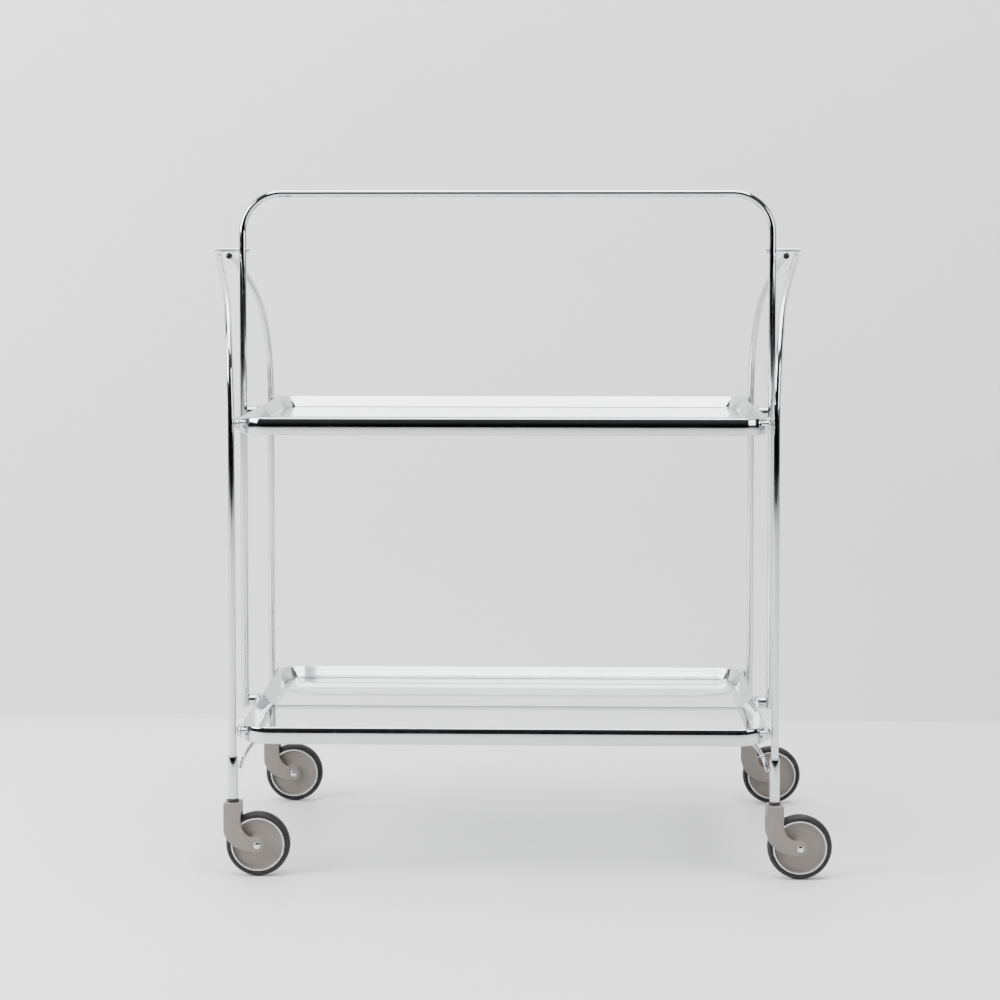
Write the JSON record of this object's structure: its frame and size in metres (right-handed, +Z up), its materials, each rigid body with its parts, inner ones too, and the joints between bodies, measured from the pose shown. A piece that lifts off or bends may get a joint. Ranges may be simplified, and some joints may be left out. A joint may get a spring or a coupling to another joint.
{
  "type": "folding bar cart",
  "caption": "Folding bar cart with split glass trays in chrome rims, a tall bent-tube handle, bowed legs and swivel casters.",
  "frame": {"origin": "on the floor under the centre of the whole box at rest", "axes": "+Z up, +X to the right along the trays, -Y to the front"},
  "size_m": [0.7376, 0.41, 0.7977],
  "materials": {
    "chrome": "polished chrome plate on the tubes and rims",
    "glass": "clear flat glass",
    "caster_plastic": "warm taupe moulded plastic, satin",
    "tyre": "smooth black tread",
    "black_plastic": "black collar between the fork and the sleeve"
  },
  "bodies": {
    "front_legs": {"front_stretcher": "chrome", "front_left_leg": "chrome", "front_left_sleeve": "chrome", "front_right_leg": "chrome", "front_right_sleeve": "chrome", "upper_front_left_pivot": "chrome", "upper_front_right_pivot": "chrome", "lower_front_left_pivot": "chrome", "lower_front_right_pivot": "chrome"},
    "back_legs": {"back_stretcher": "chrome", "back_left_leg": "chrome", "back_left_sleeve": "chrome", "back_right_leg": "chrome", "back_right_sleeve": "chrome", "upper_back_left_pivot": "chrome", "upper_back_right_pivot": "chrome", "lower_back_left_pivot": "chrome", "lower_back_right_pivot": "chrome"},
    "handle": {"handle_tube": "chrome", "left_stop_bar": "chrome", "right_stop_bar": "chrome", "upper_left_hinge_plate": "chrome", "upper_right_hinge_plate": "chrome", "lower_left_hinge_plate": "chrome", "lower_right_hinge_plate": "chrome"},
    "upper_front_tray": {"upper_front_rim": "chrome", "upper_front_glass": "glass"},
    "upper_back_tray": {"upper_back_rim": "chrome", "upper_back_glass": "glass"},
    "lower_front_tray": {"lower_front_rim": "chrome", "lower_front_glass": "glass"},
    "lower_back_tray": {"lower_back_rim": "chrome", "lower_back_glass": "glass"},
    "front_left_caster": {"front_left_caster_fork": "caster_plastic", "front_left_caster_swivel_stem": "chrome", "front_left_caster_swivel_collar": "black_plastic", "front_left_caster_axle": "chrome"},
    "front_left_wheel": {"front_left_caster_hub": "caster_plastic", "front_left_caster_tyre": "tyre"},
    "front_right_caster": {"front_right_caster_fork": "caster_plastic", "front_right_caster_swivel_stem": "chrome", "front_right_caster_swivel_collar": "black_plastic", "front_right_caster_axle": "chrome"},
    "front_right_wheel": {"front_right_caster_hub": "caster_plastic", "front_right_caster_tyre": "tyre"},
    "back_left_caster": {"back_left_caster_fork": "caster_plastic", "back_left_caster_swivel_stem": "chrome", "back_left_caster_swivel_collar": "black_plastic", "back_left_caster_axle": "chrome"},
    "back_left_wheel": {"back_left_caster_hub": "caster_plastic", "back_left_caster_tyre": "tyre"},
    "back_right_caster": {"back_right_caster_fork": "caster_plastic", "back_right_caster_swivel_stem": "chrome", "back_right_caster_swivel_collar": "black_plastic", "back_right_caster_axle": "chrome"},
    "back_right_wheel": {"back_right_caster_hub": "caster_plastic", "back_right_caster_tyre": "tyre"}
  },
  "joints": [
    {"name": "fold", "type": "hinge", "parent": "front_legs", "child": "upper_front_tray", "pos_m": [-0.01075, -0.19, 0.526], "axis": [1, 0, 0], "range_deg": [0, 45]},
    {"name": "lower_front_fold", "type": "hinge", "parent": "front_legs", "child": "lower_front_tray", "pos_m": [-0.01075, -0.19, 0.169], "axis": [1, 0, 0], "range_deg": [0, 45]},
    {"name": "handle_hinge", "type": "hinge", "parent": "upper_front_tray", "child": "handle", "pos_m": [-0.01075, -0.012, 0.5175], "axis": [1, 0, 0], "range_deg": [-45, 0]},
    {"name": "upper_back_fold", "type": "hinge", "parent": "handle", "child": "upper_back_tray", "pos_m": [-0.01075, 0.012, 0.5175], "axis": [1, 0, 0], "range_deg": [-45, 0]},
    {"name": "lower_back_fold", "type": "hinge", "parent": "handle", "child": "lower_back_tray", "pos_m": [-0.01075, 0.012, 0.1605], "axis": [1, 0, 0], "range_deg": [-45, 0]},
    {"name": "back_legs_hinge", "type": "hinge", "parent": "upper_back_tray", "child": "back_legs", "pos_m": [-0.01075, 0.19, 0.526], "axis": [1, 0, 0], "range_deg": [0, 45]},
    {"name": "front_left_swivel", "type": "hinge", "parent": "front_legs", "child": "front_left_caster", "pos_m": [-0.32375, -0.19, 0.08], "axis": [0, 0, 1], "continuous": true},
    {"name": "front_left_roll", "type": "hinge", "parent": "front_left_caster", "child": "front_left_wheel", "pos_m": [-0.29475, -0.19, 0.0375], "axis": [0, 1, 0], "continuous": true},
    {"name": "front_right_swivel", "type": "hinge", "parent": "front_legs", "child": "front_right_caster", "pos_m": [0.30225, -0.19, 0.08], "axis": [0, 0, 1], "continuous": true},
    {"name": "front_right_roll", "type": "hinge", "parent": "front_right_caster", "child": "front_right_wheel", "pos_m": [0.33125, -0.19, 0.0375], "axis": [0, 1, 0], "continuous": true},
    {"name": "back_left_swivel", "type": "hinge", "parent": "back_legs", "child": "back_left_caster", "pos_m": [-0.32375, 0.19, 0.08], "axis": [0, 0, 1], "continuous": true},
    {"name": "back_left_roll", "type": "hinge", "parent": "back_left_caster", "child": "back_left_wheel", "pos_m": [-0.29475, 0.19, 0.0375], "axis": [0, 1, 0], "continuous": true},
    {"name": "back_right_swivel", "type": "hinge", "parent": "back_legs", "child": "back_right_caster", "pos_m": [0.30225, 0.19, 0.08], "axis": [0, 0, 1], "continuous": true},
    {"name": "back_right_roll", "type": "hinge", "parent": "back_right_caster", "child": "back_right_wheel", "pos_m": [0.33125, 0.19, 0.0375], "axis": [0, 1, 0], "continuous": true}
  ],
  "couplings": [
    {"joint": "lower_front_fold", "follows": "fold", "ratio": 1},
    {"joint": "handle_hinge", "follows": "fold", "ratio": -1},
    {"joint": "upper_back_fold", "follows": "fold", "ratio": -1},
    {"joint": "lower_back_fold", "follows": "fold", "ratio": -1},
    {"joint": "back_legs_hinge", "follows": "fold", "ratio": 1}
  ]
}
